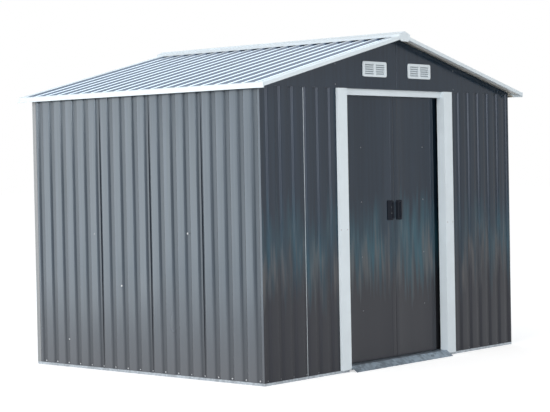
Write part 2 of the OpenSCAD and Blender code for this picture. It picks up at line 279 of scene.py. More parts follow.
@dataclass(frozen=True)
class Finish:
    """What every finish has: a name, a colour, its gloss and how much the colour varies."""

    name: str
    colour: Colour
    roughness: float = 0.4
    spread: float = 0.08
    metallic: float = 0.0
    specular: float = 0.5
    coat: float = 0.0
    sheen: Colour = (1.0, 1.0, 1.0)
    coat_gloss: float = 0.5

    def gloss(self, shader: bpy.types.Node) -> None:
        """Sets the shader's metal, reflection and clear coat."""
        shader.inputs["Metallic"].default_value = self.metallic
        shader.inputs["Specular IOR Level"].default_value = self.specular
        shader.inputs["Specular Tint"].default_value = (*self.sheen, 1.0)
        shader.inputs["Coat Weight"].default_value = self.coat
        shader.inputs["Coat Roughness"].default_value = self.roughness * self.coat_gloss

    def coordinates(self, tree: Tree, scale: Triple) -> bpy.types.NodeSocket:
        """The piece's own coordinates, stretched.

        Args:
            tree: the material's tree.
            scale: how many pattern units a metre holds along each axis.

        Returns:
            The stretched coordinates.
        """
        place = tree.node("ShaderNodeTexCoord")
        stretch = tree.node("ShaderNodeMapping")
        stretch.inputs["Scale"].default_value = scale
        tree.feed(stretch.inputs["Vector"], place.outputs["Object"])
        return stretch.outputs["Vector"]

    def blend(self, tree: Tree, share: Any, low: Any, high: Any) -> bpy.types.NodeSocket:
        """A colour between two.

        Args:
            tree: the material's tree.
            share: 0 for the first colour, 1 for the second.
            low: the first colour.
            high: the second colour.

        Returns:
            The colour.
        """
        made = tree.node("ShaderNodeMix", data_type="RGBA")
        tree.feed(made.inputs["Factor"], share)
        for socket, value in ((made.inputs["A"], low), (made.inputs["B"], high)):
            wanted = value if isinstance(value, bpy.types.NodeSocket) else (*value, 1.0)
            tree.feed(socket, wanted)
        return made.outputs["Result"]

    def shade(self, amount: float) -> Colour:
        """The finish's colour, lighter or darker by a share."""
        return tuple(channel * (1 + amount) for channel in self.colour)

    def range(self, tree: Tree, value: Any, low: float, high: float) -> bpy.types.NodeSocket:
        """A noise value spread between two limits.

        Args:
            tree: the material's tree.
            value: the noise, mostly between NOISE_LOW and NOISE_HIGH.
            low: the result at NOISE_LOW.
            high: the result at NOISE_HIGH.

        Returns:
            The result.
        """
        made = tree.node("ShaderNodeMapRange", interpolation_type="SMOOTHSTEP")
        limits = {"From Min": NOISE_LOW, "From Max": NOISE_HIGH, "To Min": low, "To Max": high}
        for name, number in limits.items():
            made.inputs[name].default_value = number
        tree.feed(made.inputs["Value"], value)
        return made.outputs["Result"]

    def bump(self, tree: Tree, height: Any, distance: float, strength: float, under: Any = None) -> Any:
        """A bump.

        Args:
            tree: the material's tree.
            height: the height's noise.
            distance: the height of 1, in metres.
            strength: how much of it shows.
            under: a bump that this one lies on.

        Returns:
            The bumped normal.
        """
        made = tree.node("ShaderNodeBump")
        made.inputs["Distance"].default_value = distance
        made.inputs["Strength"].default_value = strength
        tree.feed(made.inputs["Height"], height)
        if under is not None:
            tree.feed(made.inputs["Normal"], under)
        return made.outputs["Normal"]

    def make(self) -> bpy.types.Material:
        """Builds the material: a faint mottling of colour and gloss over a fine grain."""
        made, tree, shader = new_material(self.name)
        even = self.coordinates(tree, EVEN)
        mottle = tree.noise(even, scale=9.0, detail=4.0)
        grain = tree.noise(even, scale=700.0, detail=2.0)
        share = self.range(tree, mottle, 0.0, 1.0)
        low, high = self.shade(-self.spread), self.shade(self.spread)
        tree.feed(shader.inputs["Base Color"], self.blend(tree, share, low, high))
        dulled = self.range(tree, mottle, self.roughness * 0.85, self.roughness * 1.15)
        tree.feed(shader.inputs["Roughness"], dulled)
        self.gloss(shader)
        tree.feed(shader.inputs["Normal"], self.bump(tree, grain, distance=0.0004, strength=0.15))
        return made


@dataclass(frozen=True)
class Fade:
    """A soft limit of a stain: the place where it ends, in metres, and its gain over a metre."""

    limit: float
    gain: float

    def above(self, tree: Tree, place: Any) -> Any:
        """A share that is 0 up to the limit and grows to 1 past it."""
        return tree.math("MULTIPLY", tree.math("SUBTRACT", place, self.limit), self.gain, clamp=True)

    def below(self, tree: Tree, place: Any) -> Any:
        """A share that is 0 from the limit on and grows to 1 before it."""
        return tree.math("MULTIPLY", tree.math("SUBTRACT", self.limit, place), self.gain, clamp=True)


@dataclass(frozen=True)
class SheetPaint(Finish):
    """Gloss paint on rolled sheet: upright streaks, with painted teal and brown reflections and a warmer foot
    on the front, and dust and painted groove shade elsewhere.
    """

    # Painted reflections: the next two colours stand in for the surroundings mirrored in the front.
    teal_reflection: Colour = (0.030, 0.130, 0.175)
    brown_reflection: Colour = (0.150, 0.130, 0.118)
    foot: Colour = (0.026, 0.027, 0.032)
    dust: Colour = (0.084, 0.086, 0.097)
    # Painted shade in the grooves: its colour and how strongly it shows.
    groove_shade: Colour = (0.010, 0.013, 0.018)
    groove_shading: float = 0.0
    reflections_painted: bool = False
    teal_reflection_peak: float = 0.50
    along: Triple = (1.0, 1.0, 0.03)
    wave: float = 0.35
    ragged: float = 0.13
    reflection_from: Fade = Fade(0.42, 3.4)
    reflection_to: Fade = Fade(1.02, 3.6)
    brown_reflection_to: Fade = Fade(0.86, 4.0)
    foot_to: Fade = Fade(0.80, 3.0)
    dust_to: Fade = Fade(0.62, 1.7)
    groove_shade_from: Fade = Fade(0.003, 300.0)

    def paint_reflections(self, tree: Tree, colour: Any) -> Any:
        """Paints teal and brown reflections as streaks between knee and chest height, and warms the colour
        below the knee.

        Args:
            tree: the material's tree.
            colour: the colour under them.

        Returns:
            The colour with its painted reflections.
        """
        edges = tree.noise(self.coordinates(tree, (1.0, 1.0, 0.06)), scale=32.0, detail=3.0)
        patches = tree.noise(self.coordinates(tree, (1.0, 1.0, 0.30)), scale=6.0, detail=2.0)
        picks = tree.noise(self.coordinates(tree, (1.0, 1.0, 0.08)), scale=30.0, detail=2.0)
        # Painted reflections: teal patches in a band from knee to chest height, brown ones in its lower part.
        height = tree.math("ADD", tree.own_place()["Z"], self.range(tree, edges, -self.ragged, self.ragged))
        reflection_band = tree.math("MULTIPLY", self.reflection_from.above(tree, height), self.reflection_to.below(tree, height))
        teal_share = tree.math("MULTIPLY", reflection_band, self.range(tree, patches, 0.15, 0.75))
        low_reflection_band = tree.math("MULTIPLY", reflection_band, self.brown_reflection_to.below(tree, height))
        brown_share = tree.math("MULTIPLY", low_reflection_band, self.range(tree, picks, -0.35, 0.75))
        warmer_low = self.blend(tree, self.foot_to.below(tree, height), colour, self.foot)
        teal_reflected = self.blend(tree, tree.math("MULTIPLY", teal_share, self.teal_reflection_peak), warmer_low, self.teal_reflection)
        return self.blend(tree, tree.math("MAXIMUM", brown_share, 0.0), teal_reflected, self.brown_reflection)

    def dusted(self, tree: Tree, colour: Any) -> Any:
        """Pales the foot of a wall, where splashed dust dries."""
        return self.blend(tree, self.dust_to.below(tree, tree.own_place()["Z"]), colour, self.dust)

    def shade_grooves(self, tree: Tree, shader: bpy.types.Node, colour: Any) -> Any:
        """Paints shade into the grooves: darkens their colour and dulls their reflection.

        Args:
            tree: the material's tree.
            shader: the shader, whose reflection the painted shade lowers.
            colour: the colour under it.

        Returns:
            The colour with painted shade in the grooves.
        """
        # Painted shade: deeper in a groove, the colour darkens and the reflection drops.
        depth = tree.node("ShaderNodeAttribute", attribute_name=GROOVE_DEPTH).outputs["Fac"]
        share = tree.math("MULTIPLY", self.groove_shade_from.above(tree, depth), self.groove_shading)
        clean = tree.math("SUBTRACT", 1.0, share)
        tree.feed(shader.inputs["Specular IOR Level"], tree.math("MULTIPLY", clean, self.specular))
        return self.blend(tree, share, colour, self.groove_shade)

    def make(self) -> bpy.types.Material:
        """Builds the material: streaks along the sheet over the fine orange peel of sprayed paint."""
        made, tree, shader = new_material(self.name)
        streak = tree.noise(self.coordinates(tree, self.along), scale=38.0, detail=3.0)
        broad = tree.noise(self.coordinates(tree, (1.0, 1.0, 0.35)), scale=3.5, detail=2.0)
        peel = tree.noise(self.coordinates(tree, EVEN), scale=420.0, detail=1.0)
        low, high = self.shade(-self.spread), self.shade(self.spread)
        colour = self.blend(tree, self.range(tree, streak, 0.0, 1.0), low, high)
        # The front carries painted reflections; the other sheets get dust at the foot.
        colour = self.paint_reflections(tree, colour) if self.reflections_painted else self.dusted(tree, colour)
        # Painted shade in the grooves, on the sheets that carry it.
        if self.groove_shading:
            colour = self.shade_grooves(tree, shader, colour)
        tree.feed(shader.inputs["Base Color"], colour)
        dulled = self.range(tree, broad, self.roughness * 0.8, self.roughness * 1.25)
        tree.feed(shader.inputs["Roughness"], dulled)
        self.gloss(shader)
        rolled = self.bump(tree, streak, distance=0.0012, strength=self.wave)
        peeled = self.bump(tree, peel, distance=0.0002, strength=0.08, under=rolled)
        tree.feed(shader.inputs["Normal"], peeled)
        return made


@dataclass(frozen=True)
class Spangle(Finish):
    """Hot-dip zinc: crystals of slightly different grey and gloss, dulled by water marks."""

    crystal: float = 70.0
    crystal_share: float = 0.35

    def make(self) -> bpy.types.Material:
        """Builds the material: crystals, with broader water marks over them."""
        made, tree, shader = new_material(self.name)
        even = self.coordinates(tree, EVEN)
        cells = tree.node("ShaderNodeTexVoronoi")
        cells.inputs["Scale"].default_value = self.crystal
        tree.feed(cells.inputs["Vector"], even)
        split = tree.node("ShaderNodeSeparateColor")
        tree.feed(split.inputs[0], cells.outputs["Color"])
        marks = tree.noise(even, scale=14.0, detail=4.0)
        crystals = tree.math("MULTIPLY", split.outputs[0], self.crystal_share)
        mixed = tree.math("ADD", crystals, tree.math("MULTIPLY", marks, 1.0 - self.crystal_share))
        low, high = self.shade(-self.spread), self.shade(self.spread)
        tree.feed(shader.inputs["Base Color"], self.blend(tree, self.range(tree, mixed, 0.0, 1.0), low, high))
        dulled = self.range(tree, split.outputs[1], self.roughness * 0.8, self.roughness * 1.2)
        tree.feed(shader.inputs["Roughness"], dulled)
        self.gloss(shader)
        tree.feed(shader.inputs["Normal"], self.bump(tree, marks, distance=0.0006, strength=0.12))
        return made


@dataclass(frozen=True)
class Palette:
    """Every finish of the shed, made once and handed out by name."""

    # One paint in two copies: the walls' copy is paler and far glossier as painted light, the front's and
    # leaves' darker and duller as painted shade.
    wall: SheetPaint = SheetPaint(
        "slate_gloss", (0.030, 0.042, 0.060), 0.22, 0.12, specular=0.9, sheen=(0.80, 0.92, 1.0),
        groove_shading=0.32,
    )
    front: SheetPaint = SheetPaint(
        "slate_gloss_front_shaded", (0.009, 0.020, 0.034), 0.19, 0.16, specular=0.33, sheen=(0.82, 0.87, 1.0),
        reflections_painted=True,
    )
    # The leaves carry stronger painted teal reflections than the front walls.
    leaf: SheetPaint = replace(front, name="slate_gloss_leaf_shaded", teal_reflection_peak=0.88)
    # The roof's pale blue-grey is a painted reflection of the sky; its own paint is the walls' dark grey.
    roof: SheetPaint = SheetPaint(
        "slate_gloss_roof_sky_reflection", (0.125, 0.180, 0.280), 0.18, 0.10, specular=1.0, coat=1.0,
        sheen=(0.80, 0.92, 1.0), along=(0.03, 1.0, 0.03),
    )
    trim: Finish = Finish("white_trim_paint", (0.74, 0.82, 0.87), 0.38, 0.03, specular=0.4)
    zinc: Spangle = Spangle("galvanised_sheet", (0.36, 0.40, 0.44), 0.42, 0.20, metallic=0.75)
    # The rear corner angles are a mid grey, far paler than the walls.
    angle: Finish = Finish("pale_angle_paint", (0.26, 0.275, 0.285), 0.42, 0.06)
    rail: Finish = Finish("eave_rail_primer", (0.55, 0.48, 0.38), 0.55, 0.06)
    plastic: Finish = Finish("black_moulded_plastic", (0.007, 0.010, 0.017), 0.60, 0.15, specular=0.16)
    steel: Finish = Finish("plated_steel", (0.55, 0.56, 0.58), 0.30, 0.08, metallic=0.9)
    dull_screw: Finish = Finish("dulled_screw", (0.22, 0.24, 0.26), 0.40, 0.08, metallic=0.5)
    # A pale back coat, made paler still as painted light under the overhang, where it lies in shade.
    backing: Finish = Finish("sheet_backing_coat", (0.72, 0.71, 0.67), 0.50, 0.05)
    sill: Spangle = Spangle("galvanised_sill", (0.27, 0.33, 0.39), 0.40, 0.32, metallic=0.75, crystal=42.0)


class Paints:
    """The palette's materials, each made when it is first asked for."""

    SAME_POINT = 1e-6
    FOLD_ANGLE = 0.6

    def __init__(self, palette: Palette) -> None:
        """Keeps the palette; nothing is made yet."""
        self.palette = palette
        self.made: dict[str, bpy.types.Material] = {}

    def get(self, finish: Finish) -> bpy.types.Material:
        """The material of a finish."""
        if finish.name not in self.made:
            self.made[finish.name] = finish.make()
        return self.made[finish.name]

    def dress(self, names: Iterable[str], finish: Finish, edge: float = 0.0) -> None:
        """Gives nodes of the frame a finish, and rounds their folded edges.

        Args:
            names: the nodes.
            finish: the finish.
            edge: the radius of their edges in metres, or 0 to leave them sharp.
        """
        for name in names:
            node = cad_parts[name]
            node.data.materials.clear()
            node.data.materials.append(self.get(finish))
            if edge:
                weld = node.modifiers.new("weld", "WELD")
                weld.merge_threshold = self.SAME_POINT
                round_edges(node, edge, self.FOLD_ANGLE)
            LOG.info("%s keeps its shape, in %s", name, finish.name)


# ---- pressed sheet ----------------------------------------------------------------------------


@dataclass(frozen=True)
class Rib:
    """The section that is rolled into wall and roof sheets, in metres."""

    flat: float = 0.026
    web: float = 0.011
    depth: float = 0.011
    bend: float = 0.005
    thickness: float = 0.0006


class SheetTrees:
    """The geometry trees that roll ribbed sheet and bend plain sheet."""

    BEND_STEPS = 3
    FLAT_STEPS = 2
    LAP_SHARE = 6.0
    LAP_CURL = 1.5
    LAP_HOLD = 5.0
    EDGE_HOLD = 8.0
    SEED_STEP = 7.31
    DENT_SQUEEZE = 1.6
    DENT_SCALE = 2.6
    STREAK_STRETCH = 0.22
    STREAK_SCALE = 11.0
    RIB_CORNERS = 4.0
    COMMON = (
        ("Bend", "NodeSocketFloat"), ("Height", "NodeSocketFloat"), ("Rows", "NodeSocketInt"),
        ("Dents", "NodeSocketFloat"), ("Streaks", "NodeSocketFloat"), ("Gape", "NodeSocketFloat"),
        ("Seed", "NodeSocketInt"), ("Finish", "NodeSocketMaterial"),
    )

    def __init__(self) -> None:
        """Builds the three trees."""
        self.press = self._press()
        self.ribbed = self._ribbed()
        self.folded = self._folded()

    def _press(self) -> bpy.types.NodeTree:
        """The shared last step: an outline becomes a sheet with shallow dents.

        Returns:
            A tree that takes a curve in its own x (along) and y (inwards) and raises it along z.
        """
        sizes = [("Outline", "NodeSocketGeometry"), ("Length", "NodeSocketFloat"), *self.COMMON]
        tree, given, result = new_geometry_tree("press_sheet", sizes)
        size = tree.node("GeometryNodeAttributeDomainSize", component="CURVE")
        tree.feed(size.inputs[0], given["Outline"])
        grid = tree.node("GeometryNodeMeshGrid")
        tree.feed(grid.inputs["Vertices X"], size.outputs["Point Count"])
        tree.feed(grid.inputs["Vertices Y"], given["Rows"])
        index = tree.node("GeometryNodeInputIndex").outputs[0]
        column = tree.math("FLOOR", tree.math("DIVIDE", tree.math("ADD", index, 0.5), given["Rows"]))
        row = tree.math("SUBTRACT", index, tree.math("MULTIPLY", column, given["Rows"]))
        share = tree.math("DIVIDE", row, tree.math("SUBTRACT", given["Rows"], 1.0))
        sample = tree.node("GeometryNodeSampleIndex", data_type="FLOAT_VECTOR", domain="POINT")
        tree.feed(sample.inputs["Geometry"], given["Outline"])
        tree.feed(sample.inputs["Value"], tree.node("GeometryNodeInputPosition").outputs[0])
        tree.feed(sample.inputs["Index"], column)
        split = tree.node("ShaderNodeSeparateXYZ")
        tree.feed(split.inputs[0], sample.outputs[0])
        across, inward = split.outputs["X"], split.outputs["Y"]
        height = tree.math("MULTIPLY", share, given["Height"])
        shift = tree.math("MULTIPLY", given["Seed"], self.SEED_STEP)
        squeezed = tree.vector(tree.math("MULTIPLY", across, self.DENT_SQUEEZE), shift, height)
        dents = tree.noise(squeezed, self.DENT_SCALE, detail=1.0)
        drawn_out = tree.vector(across, shift, tree.math("MULTIPLY", height, self.STREAK_STRETCH))
        streaks = tree.noise(drawn_out, self.STREAK_SCALE, detail=1.0)
        soft = tree.math("MULTIPLY", tree.math("SUBTRACT", dents, 0.5), given["Dents"])
        fine = tree.math("MULTIPLY", tree.math("SUBTRACT", streaks, 0.5), given["Streaks"])
        part = tree.math("DIVIDE", across, given["Length"])
        held_ends, held_sides = (self._hump(tree, where, self.EDGE_HOLD) for where in (share, part))
        free = tree.math("MULTIPLY", held_ends, held_sides)
        wave = tree.math("MULTIPLY", tree.math("ADD", soft, fine), free)
        edge = tree.math("SUBTRACT", tree.math("MULTIPLY", part, self.LAP_SHARE), self.LAP_SHARE - 1.0)
        curl = tree.math("POWER", tree.math("MAXIMUM", edge, 0.0), self.LAP_CURL)
        open_edge = tree.math("MULTIPLY", curl, self._hump(tree, share, self.LAP_HOLD))
        lift = tree.math("MULTIPLY", open_edge, given["Gape"])
        deep = tree.math("SUBTRACT", tree.math("ADD", inward, wave), lift)
        moved = tree.node("GeometryNodeSetPosition")
        tree.feed(moved.inputs["Geometry"], grid.outputs["Mesh"])
        tree.feed(moved.inputs["Position"], tree.vector(across, deep, height))
        marked = tree.node("GeometryNodeStoreNamedAttribute", data_type="FLOAT", domain="POINT")
        marked.inputs["Name"].default_value = GROOVE_DEPTH
        tree.feed(marked.inputs["Geometry"], moved.outputs[0])
        tree.feed(marked.inputs["Value"], inward)
        smooth = tree.node("GeometryNodeSetShadeSmooth")
        tree.feed(smooth.inputs["Geometry"], marked.outputs[0])
        tree.end_in(result, smooth.outputs[0], given["Finish"])
        return tree.tree

    def _hump(self, tree: Tree, share: Any, steepness: float) -> Any:
        """A smooth weight that is 0 at both ends of a share and 1 between them.

        Args:
            tree: the tree that is being built.
            share: from 0 at one end to 1 at the other.
            steepness: how soon it reaches 1.

        Returns:
            The weight.
        """
        held = tree.math("MULTIPLY", share, tree.math("SUBTRACT", 1.0, share))
        return tree.math("TANH", tree.math("MULTIPLY", tree.math("MAXIMUM", held, 0.0), steepness))

    def _bend_and_press(self, tree: Tree, line: Any, given: dict[str, Any]) -> Any:
        """Rounds the corners of a line of points and presses the sheet from it.

        Args:
            tree: the tree that is being built.
            line: the line of points, as a mesh.
            given: the tree's inputs by name.

        Returns:
            The sheet.
        """
        curve = tree.node("GeometryNodeMeshToCurve")
        tree.feed(curve.inputs["Mesh"], line)
        bends = tree.node("GeometryNodeFilletCurve", mode="POLY")
        tree.feed(bends.inputs["Curve"], curve.outputs[0])
        bends.inputs["Count"].default_value = self.BEND_STEPS
        bends.inputs["Limit Radius"].default_value = True
        tree.feed(bends.inputs["Radius"], given["Bend"])
        finer = tree.node("GeometryNodeSubdivideCurve")
        tree.feed(finer.inputs["Curve"], bends.outputs[0])
        finer.inputs["Cuts"].default_value = self.FLAT_STEPS
        press = tree.node("GeometryNodeGroup")
        press.node_tree = self.press
        tree.feed(press.inputs["Outline"], finer.outputs[0])
        for name in ("Length", *(label for label, _ in self.COMMON)):
            tree.feed(press.inputs[name], given[name])
        return press.outputs[0]

    def _ribbed(self) -> bpy.types.NodeTree:
        """A sheet with evenly spaced ribs, worked out from its sizes. It may end halfway across a rib."""
        sizes = [
            ("Length", "NodeSocketFloat"), ("First", "NodeSocketFloat"), ("Pitch", "NodeSocketFloat"),
            ("Ribs", "NodeSocketInt"), ("Flat", "NodeSocketFloat"), ("Web", "NodeSocketFloat"),
            ("Depth", "NodeSocketFloat"), ("Half", "NodeSocketInt"), *self.COMMON,
        ]
        tree, given, result = new_geometry_tree("ribbed_sheet", sizes)
        corners = tree.math("ADD", tree.math("MULTIPLY", given["Ribs"], self.RIB_CORNERS), 2.0)
        count = tree.math("ADD", corners, tree.math("MULTIPLY", given["Half"], 2.0))
        line = tree.node("GeometryNodeMeshLine")
        tree.feed(line.inputs["Count"], count)
        index = tree.node("GeometryNodeInputIndex").outputs[0]
        point = tree.math("SUBTRACT", index, 1.0)
        rib = tree.math("FLOOR", tree.math("DIVIDE", tree.math("ADD", point, 0.5), self.RIB_CORNERS))
        corner = tree.math("SUBTRACT", point, tree.math("MULTIPLY", rib, self.RIB_CORNERS))
        side = tree.math("SUBTRACT", tree.math("MULTIPLY", tree.math("GREATER_THAN", corner, 1.5), 2.0), 1.0)
        offset = tree.math("ABSOLUTE", tree.math("SUBTRACT", corner, 1.5))
        outer = tree.math("GREATER_THAN", offset, 1.0)
        half = tree.math("MULTIPLY", given["Flat"], 0.5)
        reach = tree.math("ADD", half, tree.math("MULTIPLY", outer, given["Web"]))
        centre = tree.math("ADD", given["First"], tree.math("MULTIPLY", rib, given["Pitch"]))
        along = tree.math("ADD", centre, tree.math("MULTIPLY", side, reach))
        deep = tree.math("MULTIPLY", tree.math("SUBTRACT", 1.0, outer), given["Depth"])
        first = tree.math("LESS_THAN", index, 0.5)
        last = tree.math("GREATER_THAN", index, tree.math("SUBTRACT", count, 1.5))
        inner = tree.math("SUBTRACT", 1.0, tree.math("ADD", first, last))
        far_end = tree.math("MULTIPLY", given["Length"], last)
        x = tree.math("ADD", tree.math("MULTIPLY", along, inner), far_end)
        placed = tree.node("GeometryNodeSetPosition")
        tree.feed(placed.inputs["Geometry"], line.outputs[0])
        sunk_end = tree.math("MULTIPLY", tree.math("MULTIPLY", given["Half"], given["Depth"]), last)
        y = tree.math("ADD", tree.math("MULTIPLY", deep, inner), sunk_end)
        tree.feed(placed.inputs["Position"], tree.vector(x, y, 0.0))
        tree.feed(result, self._bend_and_press(tree, placed.outputs[0], given))
        return tree.tree

    def _folded(self) -> bpy.types.NodeTree:
        """A sheet folded along the object's own line of points."""
        sizes = [("Line", "NodeSocketGeometry"), ("Length", "NodeSocketFloat"), *self.COMMON]
        tree, given, result = new_geometry_tree("folded_sheet", sizes)
        tree.feed(result, self._bend_and_press(tree, given["Line"], given))
        return tree.tree


@dataclass(frozen=True)
class Placing:
    """Where a sheet lies: its first corner, and its directions along, inwards and up."""

    corner: Triple
    along: Triple
    inward: Triple
    up: Triple = (0.0, 0.0, 1.0)

    def matrix(self) -> Matrix:
        """The sheet's own axes as columns, with its corner."""
        columns = [Vector(self.along), Vector(self.inward), Vector(self.up), Vector(self.corner)]
        made = Matrix.Identity(4)
        for number, column in enumerate(columns):
            for row in range(3):
                made[row][number] = column[row]
        return made


@dataclass
class Sheet:
    """One pressed sheet."""

    name: str
    placing: Placing
    height: float
    backing: bpy.types.Material | None = None
    rows: int = 25
    dents: float = 0.0018
    streaks: float = 0.0010
    gape: float = 0.0
    seed: int = 1
    rib: Rib = field(default_factory=Rib)

    def _values(self, finish: bpy.types.Material, length: float, bend: float) -> dict[str, Any]:
        """The values that both kinds of sheet take.

        Args:
            finish: the sheet's material.
            length: its length along the outline.
            bend: the radius of its bends.

        Returns:
            The values by input name.
        """
        return {
            "Length": length, "Bend": bend, "Height": self.height, "Rows": self.rows, "Dents": self.dents,
            "Streaks": self.streaks, "Gape": self.gape, "Seed": self.seed, "Finish": finish,
        }

    def _sharpen_rim(self, mesh: bpy.types.Mesh) -> None:
        """Keeps the shading of the sheet's faces apart from that of its cut edges."""
        uses = [0] * len(mesh.edges)
        for loop in mesh.loops:
            uses[loop.edge_index] += 1
        for edge, count in zip(mesh.edges, uses):
            edge.use_edge_sharp = count == 1

    def place(self, mesh: bpy.types.Mesh) -> bpy.types.Object:
        """Puts a mesh in its place and gives it the sheet's thickness.

        Args:
            mesh: the sheet in its own axes, facing away from inwards.

        Returns:
            The finished object, at the origin.
        """
        matrix = self.placing.matrix()
        mesh.transform(matrix)
        if matrix.to_3x3().determinant() < 0:
            mesh.flip_normals()
        self._sharpen_rim(mesh)
        made = add_piece(self.name, mesh)
        thick = made.modifiers.new("sheet", "SOLIDIFY")
        thick.thickness = self.rib.thickness
        thick.offset = -1.0
        if self.backing is not None:
            mesh.materials.append(self.backing)
            thick.material_offset = 1
        return made

    def roll(
        self, trees: SheetTrees, finish: bpy.types.Material, length: float, first: float, pitch: float,
        ribs: int, half: bool = False,
    ) -> bpy.types.Object:
        """Rolls a ribbed sheet.

        Args:
            trees: the sheet trees.
            finish: the sheet's material.
            length: its length across the ribs.
            first: the first rib's centre.
            pitch: the ribs' spacing.
            ribs: how many there are.
            half: whether the sheet ends halfway across one more rib.

        Returns:
            The finished object.
        """
        values = self._values(finish, length, self.rib.bend) | {
            "First": first, "Pitch": pitch, "Ribs": ribs, "Flat": self.rib.flat, "Web": self.rib.web,
            "Depth": self.rib.depth, "Half": int(half),
        }
        source = bpy.data.objects.new("sheet_source", bpy.data.meshes.new("sheet_source"))
        return self.place(realise(source, trees.ribbed, values))

    def fold(
        self, trees: SheetTrees, finish: bpy.types.Material, outline: Sequence[tuple[float, float]],
        bend: float,
    ) -> bpy.types.Object:
        """Folds a plain sheet along an outline.

        Args:
            trees: the sheet trees.
            finish: the sheet's material.
            outline: the folds' places, along and inwards.
            bend: the folds' radius.

        Returns:
            The finished object.
        """
        mesh = bpy.data.meshes.new("fold_source")
        points = [(x, y, 0.0) for x, y in outline]
        mesh.from_pydata(points, [(n, n + 1) for n in range(len(points) - 1)], [])
        values = self._values(finish, max(x for x, _ in outline), bend)
        source = bpy.data.objects.new("fold_source", mesh)
        return self.place(realise(source, trees.folded, values))


def settle(piece: bpy.types.Object, body: Body, slot: str, *nodes: str) -> None:
    """Lets a piece ride on its body and stand for its nodes.

    Args:
        piece: the piece.
        body: what it moves with.
        slot: not used.
        nodes: the nodes that it stands for.
    """
    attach(piece, body.value)
    if nodes:
        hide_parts(*nodes)
    LOG.info("%s made, %d vertices", piece.name, len(piece.data.vertices))


# ---- walls and roof ---------------------------------------------------------------------------


